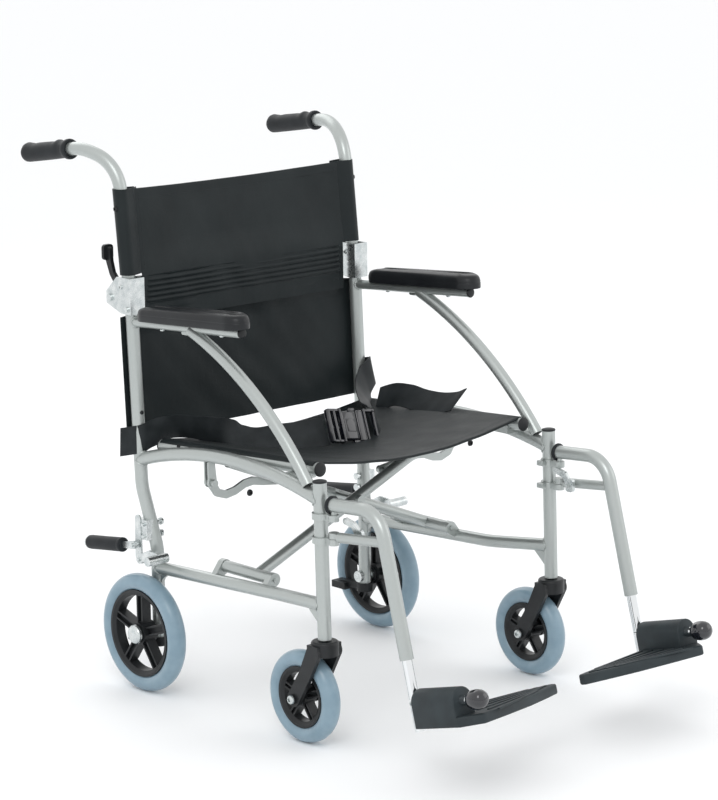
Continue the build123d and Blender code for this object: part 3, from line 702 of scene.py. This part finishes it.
FAR_STRAP = [
    ((0.0700, 0.0580, 0.4370), (-0.1, 0.35, 0.94)),
    ((0.0880, 0.0660, 0.4340), (-0.2, 0.4, 0.9)),
    ((0.1090, 0.0900, 0.4320), (-0.4, 0.3, 0.87)),
    ((0.1380, 0.1350, 0.4330), (-0.6, 0.3, 0.75)),
    ((0.1750, 0.1850, 0.4380), (-0.5, 0.4, 0.77)),
    ((0.2070, 0.2230, 0.4420), (-0.35, 0.5, 0.8)),
    ((0.2330, 0.2470, 0.4560), (-0.2, 0.4, 0.9)),
    ((0.2600, 0.2570, 0.4680), (-0.1, 0.2, 0.97)),
    ((0.2700, 0.2760, 0.4640), (0.0, 0.1, 1.0)),
    ((0.2640, 0.3000, 0.4600), (0.0, 0.0, 1.0)),
]
FREE_TAIL = [
    ((0.1980, 0.1800, 0.4350), (0.5, 0.2, 0.85)),
    ((0.2100, 0.1600, 0.4450), (0.6, 0.2, 0.75)),
    ((0.2160, 0.1300, 0.4490), (0.75, 0.0, 0.65)),
    ((0.2180, 0.0950, 0.4460), (0.8, 0.0, 0.6)),
    ((0.2200, 0.0600, 0.4460), (0.8, 0.0, 0.6)),
    ((0.2230, 0.0300, 0.4500), (0.75, -0.1, 0.65)),
    ((0.2270, 0.0080, 0.4580), (0.7, -0.1, 0.7)),
]


def buckle():
    """Side-release buckle leaning on the seat: socket, plug, prongs and webbing bars."""
    turn = Matrix(((0.985, 0.12, 0.12), (-0.05, 0.43, -0.9), (-0.16, 0.895, 0.42))).to_4x4()
    base = Matrix.Translation((0.0210, 0.0555, 0.4370)) @ turn
    bm = bmesh.new()
    blocks = [
        ((0.030, 0.050, 0.011), (-0.002, 0, 0)),
        ((0.016, 0.054, 0.009), (0.023, 0, 0)),
        ((0.004, 0.058, 0.012), (0.0325, 0, 0)),
        ((0.004, 0.058, 0.012), (-0.0195, 0, 0)),
        ((0.005, 0.056, 0.009), (-0.031, 0, 0)),
        ((0.005, 0.056, 0.010), (-0.043, 0, 0)),
        ((0.022, 0.005, 0.008), (0.046, 0.0265, 0)),
        ((0.022, 0.005, 0.008), (0.046, -0.0265, 0)),
        ((0.024, 0.005, 0.008), (-0.032, 0.0265, 0)),
        ((0.024, 0.005, 0.008), (-0.032, -0.0265, 0)),
        ((0.004, 0.052, 0.006), (0.055, 0, 0)),
        ((0.013, 0.006, 0.007), (0.008, 0.0275, 0)),
        ((0.013, 0.006, 0.007), (0.008, -0.0275, 0)),
        ((0.018, 0.022, 0.002), (-0.002, 0, 0.0058)),
    ]
    for size, centre in blocks:
        block_into(bm, size, base @ Matrix.Translation(centre), min(size) * 0.28)
    piece = settle(bm, "belt_buckle", "knob_black", None, 40)
    belt_fold(piece)


def lap_belt():
    for name, route in (("belt_near", NEAR_STRAP), ("belt_far", FAR_STRAP), ("belt_tail", FREE_TAIL)):
        strap, flat = ribbon(name, route)
        if name == "belt_near":
            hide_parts("lap_belt")
        belt_fold(strap)
    buckle()


# ---------------------------------------------------------------- pads, grips and knobs
def arm_pad(side, sign):
    """Moulded pad: a flat-bottomed skirt, a parting line and a crowned top, round at both ends."""
    low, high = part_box(f"arm_pad_{side}")
    length = high.y - low.y
    width = high.x - low.x
    rise = atan2(0.018, 0.282)
    middle = (low + high) / 2
    levels = [
        (-0.0140, 0.90), (-0.0140, 0.975), (-0.0130, 0.992), (-0.0060, 1.0), (-0.0040, 0.996),
        (-0.0034, 0.978), (-0.0026, 0.978), (-0.0020, 0.994), (0.0020, 0.988), (0.0070, 0.955),
        (0.0105, 0.88), (0.0128, 0.76), (0.0140, 0.56), (0.0146, 0.3),
    ]
    bm = bmesh.new()
    ring = bmesh.ops.create_circle(bm, segments=48, radius=width / 2)["verts"]
    straight = length / 2 - width * 0.62
    for v in ring:
        if v.co.y > 0:
            v.co.y = v.co.y * 1.24 + straight
            v.co.x *= 0.94
        else:
            v.co.y = v.co.y * 1.24 - straight
    ring = list(ring)
    base = [v.co.copy() for v in ring]
    edges = list({e for v in ring for e in v.link_edges})
    rings = [ring]
    for _ in levels[1:]:
        made = bmesh.ops.extrude_edge_only(bm, edges=edges)["geom"]
        edges = [g for g in made if isinstance(g, bmesh.types.BMEdge)]
        rings.append([g for g in made if isinstance(g, bmesh.types.BMVert)])
    for verts, (height, scale) in zip(rings, levels):
        for v in verts:
            start = min(base, key=lambda b: (b.x - v.co.x) ** 2 + (b.y - v.co.y) ** 2)
            shrink = width / 2 * (1 - scale)
            inward = Vector((start.x, max(0, abs(start.y) - straight) * (1 if start.y > 0 else -1), 0))
            reach = max(inward.length, 0.001)
            v.co = Vector((start.x, start.y, 0)) - inward / reach * min(shrink, reach)
            nose = smoothstep((abs(start.y) - straight * 0.75) / (length / 2 - straight * 0.75))
            drop = 0.0045 if start.y < 0 else 0.007
            v.co.z = height - (drop * nose if height > 0 else 0)
    bmesh.ops.contextual_create(bm, geom=edges)
    bmesh.ops.contextual_create(bm, geom=rings[0])
    turn = Matrix.Rotation(-rise, 4, "X")
    bmesh.ops.transform(bm, matrix=Matrix.Translation(middle) @ turn, verts=bm.verts)
    piece = settle(bm, f"arm_cushion_{side}", "pad_vinyl", f"side_frame_{side}", 50)
    smooth = piece.modifiers.new("smooth", "SUBSURF")
    smooth.levels = 1
    smooth.render_levels = 1
    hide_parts(f"arm_pad_{side}")


def push_grip(side, sign):
    """Rubber grip: flared mouth, finger swell underneath and a rounded closed end."""
    start = Vector((sign * 0.27055, 0.4069, 0.897))
    end = Vector((sign * 0.2712, 0.5249, 0.8805))
    run = (end - start).length
    profile = [
        (0.0112, 0.0012), (0.0145, 0.0), (0.0166, 0.0012), (0.0172, 0.004), (0.0170, 0.0075),
        (0.0156, 0.0105), (0.0146, 0.014), (0.0143, 0.022), (0.0146, 0.034), (0.0150, 0.055),
        (0.0152, 0.080), (0.0153, 0.100), (0.0154, run - 0.004), (0.0150, run + 0.001),
        (0.0132, run + 0.0045), (0.009, run + 0.0068), (0.004, run + 0.0076), (0, run + 0.0078),
    ]
    bm = bmesh.new()
    lathe_into(bm, profile, Matrix.Identity(4), 48)
    bmesh.ops.subdivide_edges(bm, edges=[e for e in bm.edges if abs(e.verts[0].co.z - e.verts[1].co.z)
                                         > 0.006], cuts=3, use_grid_fill=True)
    for v in bm.verts:
        reach = Vector((v.co.x, v.co.y)).length
        if reach > 0.012:
            below = max(0.0, -v.co.y / reach)
            swell = 0.0030 * 2.718 ** (-((v.co.z - 0.030) / 0.007) ** 2)
            heel = 0.0022 * 2.718 ** (-((v.co.z - run + 0.004) / 0.008) ** 2)
            flute = 0.0004 * sin(v.co.z * 2 * pi / 0.006) if 0.045 < v.co.z < 0.105 else 0
            grow = 1 + ((swell + heel) * below ** 2 + flute * below) / reach
            v.co.x *= grow
            v.co.y *= grow
    axis = (end - start).normalized()
    side_x = Vector((1, 0, 0))
    up = side_x.cross(axis) * -1
    turn = Matrix((side_x, up, axis)).transposed().to_4x4()
    bmesh.ops.transform(bm, matrix=Matrix.Translation(start) @ turn, verts=bm.verts)
    piece = settle(bm, f"hand_grip_{side}", "grip_rubber", f"back_upper_{side}", 45)
    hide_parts(f"push_grip_{side}")


def brake_grip(side, sign):
    """Rubber sleeve over the brake lever, ringed at its mouth."""
    low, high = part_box(f"brake_lever_{side}")
    x = (low.x + high.x) / 2
    start = Vector((x, 0.3089 - 0.003, 0.2414))
    end = Vector((x, 0.4009, 0.229))
    run = (end - start).length
    profile = [
        (0.0, 0.0), (0.006, 0.0), (0.0105, 0.0002), (0.0122, 0.0015), (0.0124, 0.0050), (0.0118, 0.0066),
        (0.0118, 0.0080), (0.0121, 0.0100), (0.0119, run * 0.5), (0.0120, run - 0.010),
        (0.0114, run - 0.004), (0.0092, run - 0.0002), (0.0055, run + 0.0018), (0.0, run + 0.0024),
    ]
    lathe(f"brake_grip_{side}", "grip_rubber", f"brake_lever_{side}", profile, start, end - start, 40)


TILT = radians(14.8)
PIN_AXIS = Vector((0, -cos(TILT), sin(TILT)))
TUBE_AXIS = Vector((0, sin(TILT), cos(TILT)))


def step_matrix(sign):
    """Footplate hinge frame: X inboard, Y forward along the pin, Z up the drop tube."""
    inboard = Vector((-sign, 0, 0))
    turn = Matrix((inboard, PIN_AXIS, TUBE_AXIS)).transposed().to_4x4()
    return Matrix.Translation((sign * 0.251, -0.3831, 0.120)) @ turn


def extruded(bm, points, matrix, depth, soften):
    """A closed outline in local XY carried along local Z by depth, with rounded edges."""
    part = bmesh.new()
    face = part.faces.new([part.verts.new((x, y, 0)) for x, y in points])
    grown = bmesh.ops.extrude_face_region(part, geom=[face])["geom"]
    top = [g for g in grown if isinstance(g, bmesh.types.BMVert)]
    bmesh.ops.translate(part, vec=(0, 0, depth), verts=top)
    bmesh.ops.recalc_face_normals(part, faces=part.faces)
    rims = [e for e in part.edges if len(e.link_faces) == 2 and e.calc_face_angle() > 0.45]
    bevelled(part, rims, soften, 3)
    placed(bm, part, matrix)


def footplate(side, sign):
    """Hinge cheek and ribbed tread, moulded in one, in the hinge frame."""
    place = step_matrix(sign)
    along_pin = Matrix(((1, 0, 0), (0, 0, 1), (0, 1, 0))).to_4x4()
    bm = bmesh.new()
    arch = [(0.021 * cos(pi * i / 16), 0.021 * sin(pi * i / 16)) for i in range(17)]
    cheek = arch + [(-0.021, -0.0375), (0.021, -0.0375)]
    extruded(bm, cheek, place @ Matrix.Translation((0, 0.013, 0)) @ along_pin, 0.094, 0.0022)
    tread = [
        (-0.0204, 0.0145), (0.060, 0.0265), (0.150, 0.048), (0.214, 0.0645), (0.2215, 0.072),
        (0.2200, 0.082), (0.180, 0.098), (0.130, 0.1155), (0.060, 0.1315), (0.012, 0.1405),
        (0.006, 0.1405), (-0.0204, 0.110),
    ]
    extruded(bm, tread, place @ Matrix.Translation((0, 0, -0.0378)), 0.0158, 0.003)
    for i in range(6):
        reach = 0.172 - 0.012 * abs(i - 2)
        slant = radians(13 - 6.6 * i)
        middle = (0.030 + reach / 2, 0.048 + 0.0145 * i, -0.0217)
        rib = place @ Matrix.Translation(middle) @ Matrix.Rotation(slant, 4, "Z")
        block_into(bm, (reach, 0.0048, 0.0030), rib, 0.0009)
    piece = settle(bm, f"step_{side}", "tread_grey", f"footplate_{side}", 40)
    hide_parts(f"footplate_{side}")
    knob = [
        (0.0, 0.1215), (0.008, 0.1215), (0.0105, 0.1225), (0.0135, 0.1262), (0.0152, 0.1315),
        (0.0158, 0.1385), (0.0150, 0.1450), (0.0128, 0.1505), (0.0092, 0.1540), (0.0045, 0.1556),
        (0.0, 0.1560),
    ]
    to_pin = Matrix(((1, 0, 0), (0, 0, 1), (0, -1, 0))).to_4x4()
    bm = bmesh.new()
    lathe_into(bm, knob, place @ to_pin, 48)
    settle(bm, f"step_knob_{side}", "knob_black", f"footplate_pin_{side}", 60)


# ---------------------------------------------------------------- plugs, screws and welds
def plug(name, place, direction, radius, body):
    """Domed black end cap of a tube."""
    profile = [
        (0, -0.001), (radius * 0.9, -0.001), (radius * 1.02, 0.0002), (radius * 1.03, 0.0016),
        (radius * 0.97, 0.0027), (radius * 0.7, 0.0036), (radius * 0.35, 0.0041), (0, 0.0042),
    ]
    lathe(name, "plastic_black", body, profile, place, direction, 36, 60)


def screw(name, place, direction, radius, body, slot="bracket_zinc"):
    """Button head with a round-bottomed socket."""
    profile = [
        (0, -0.0005), (radius, -0.0005), (radius, radius * 0.12), (radius * 0.9, radius * 0.4),
        (radius * 0.68, radius * 0.58), (radius * 0.42, radius * 0.64), (radius * 0.38, radius * 0.5),
        (radius * 0.36, radius * 0.2), (0, radius * 0.15),
    ]
    lathe(name, slot, body, profile, place, direction, 24, 30)


def weld(name, body, root, direction, radius, spine, spine_direction, spine_radius):
    """Rippled bead where a tube meets another: root lies on the branch's axis."""
    axis = Vector(direction).normalized()
    main = Vector(spine_direction).normalized()
    root = Vector(root)
    spine = Vector(spine)
    u = axis.cross(main).normalized()
    w = axis.cross(u)
    beads = 44
    bm = bmesh.new()
    made = bmesh.ops.create_grid(bm, x_segments=beads, y_segments=8, size=0.5)["verts"]
    for v in made:
        turn = 2 * pi * (v.co.x + 0.5)
        round_bead = 2 * pi * (v.co.y + 0.5)
        side = u * cos(turn) + w * sin(turn)
        foot = root + side * radius
        offset = foot - spine
        flat = offset - main * offset.dot(main)
        lean = axis - main * axis.dot(main)
        a = lean.length_squared
        b = 2 * flat.dot(lean)
        c = flat.length_squared - spine_radius ** 2
        reach = (-b + sqrt(max(0, b * b - 4 * a * c))) / (2 * a)
        meet = foot + axis * reach
        size = 0.0019 + 0.00035 * cos(turn * 15)
        v.co = meet + side * size * cos(round_bead) + axis * size * sin(round_bead)
    return settle(bm, name, "frame_silver", body, 80)


def side_details(side, sign):
    frame_body = f"side_frame_{side}"
    rail_body = "scissor_a" if side == "left" else "scissor_b"

    def at(x, y, z):
        return Vector((sign * x, y, z))

    outward = Vector((sign, 0, 0))
    forward = Vector((0, -1, 0))
    plug(f"upright_cap_{side}", at(0.254, -0.1771, 0.4283), (0, 0.024, 1), 0.0112, frame_body)
    slope = (RAIL_FRONT - RAIL_BACK).normalized()
    plug(f"rail_cap_front_{side}", at(RAIL_X, RAIL_FRONT.y - 0.0005, RAIL_FRONT.z), slope, 0.0113,
         rail_body)
    plug(f"rail_cap_back_{side}", at(RAIL_X, RAIL_BACK.y + 0.0005, RAIL_BACK.z), -slope, 0.0113,
         rail_body)
    bar = at(0.252, 0.0049, 0.638) - at(0.248, 0.2869, 0.62)
    plug(f"arm_cap_{side}", at(0.252, 0.0045, 0.638), bar, 0.0083, frame_body)
    screw(f"link_bolt_{side}", at(0.246, 0.0, 0.38), forward, 0.0055, frame_body, "plastic_black")
    screw(f"hinge_screw_{side}", at(0.2627, 0.296, 0.678), outward, 0.0042, frame_body)
    screw(f"hinge_screw_inner_{side}", at(0.2333, 0.296, 0.678), -outward, 0.0042, frame_body)
    for i, z in enumerate((0.622, 0.47)):
        screw(f"post_screw_{side}_{i}", at(POST_X, post_y(z) - 0.0108, z), forward, 0.0036, frame_body,
              "plastic_black")
    screw(f"sleeve_screw_{side}", at(POST_X + 0.0132, cane_y(0.806), 0.806), outward, 0.0048,
          f"back_upper_{side}", "plastic_black")
    for i, y in enumerate((0.205, 0.055)):
        z = 0.638 - (y - 0.0049) * 0.0638 - 0.0078
        screw(f"pad_screw_{side}_{i}", at(0.2505, y, z), (0, 0, -1), 0.004, frame_body)
    for i, y in enumerate((-0.11, 0.19)):
        screw(f"seat_screw_{side}_{i}", at(RAIL_X + 0.0095, y, rail_z(y) + 0.0055),
              outward + Vector((0, 0, 0.6)), 0.0038, rail_body, "plastic_black")
    for i, x in enumerate((0.283, 0.225)):
        screw(f"fork_bolt_{side}_{i}", at(x, -0.1341, 0.075), outward * (1 if i == 0 else -1), 0.0075,
              f"caster_fork_{side}")
    hinge = step_matrix(sign)
    screw(f"step_screw_{side}", hinge @ Vector((-0.0095, 0.004, 0)), -sign * Vector((-1, 0, 0)), 0.0045,
          f"footrest_slide_{side}")
    ring = [
        (0.0114, 0.0), (0.0135, 0.0004), (0.0146, 0.0018), (0.0146, 0.0040), (0.0135, 0.0054),
        (0.0112, 0.0058),
    ]
    lathe(f"hanger_ring_{side}", "grip_rubber", f"footrest_hanger_{side}", ring,
          at(0.251, -0.1985, 0.396), forward, 36, 60)
    post_axis = (0, 0.0459, 1)
    post_top = at(POST_X, 0.2879, 0.65)
    weld(f"weld_arm_bar_{side}", frame_body, at(0.248, 0.2869, 0.62), bar, 0.0082, post_top, post_axis,
         0.011)
    weld(f"weld_arch_back_{side}", frame_body, at(POST_X, 0.2749, 0.39), (0, -0.94, 0.28), 0.0112,
         at(POST_X, post_y(0.39), 0.39), post_axis, 0.011)
    weld(f"weld_arch_front_{side}", frame_body, at(0.254, -0.1771, 0.4), (0, 0.97, 0.2), 0.0112,
         at(0.254, -0.1771, 0.4), (0, 0.024, 1), 0.011)
    weld(f"weld_rail_back_{side}", frame_body, at(0.234, 0.2549, 0.206), (0, -1, 0.048), 0.0107,
         at(0.234, 0.2552, 0.206), (0, -0.012, 1), 0.011)
    weld(f"weld_rail_front_{side}", frame_body, at(0.254, -0.1801, 0.233),
         Vector((-0.16 * sign, 0.98, -0.1)), 0.0107, at(0.254, -0.1809, 0.233), (0, 0.024, 1), 0.011)


# ---------------------------------------------------------------- assembly
photo_camera()
studio()
dress_cad()
seat_sling()
back_slings()
back_stitching()
lap_belt()
for side, sign in SIDES:
    sleeve(side, sign)
    arm_pad(side, sign)
    push_grip(side, sign)
    brake_grip(side, sign)
    footplate(side, sign)
    side_details(side, sign)
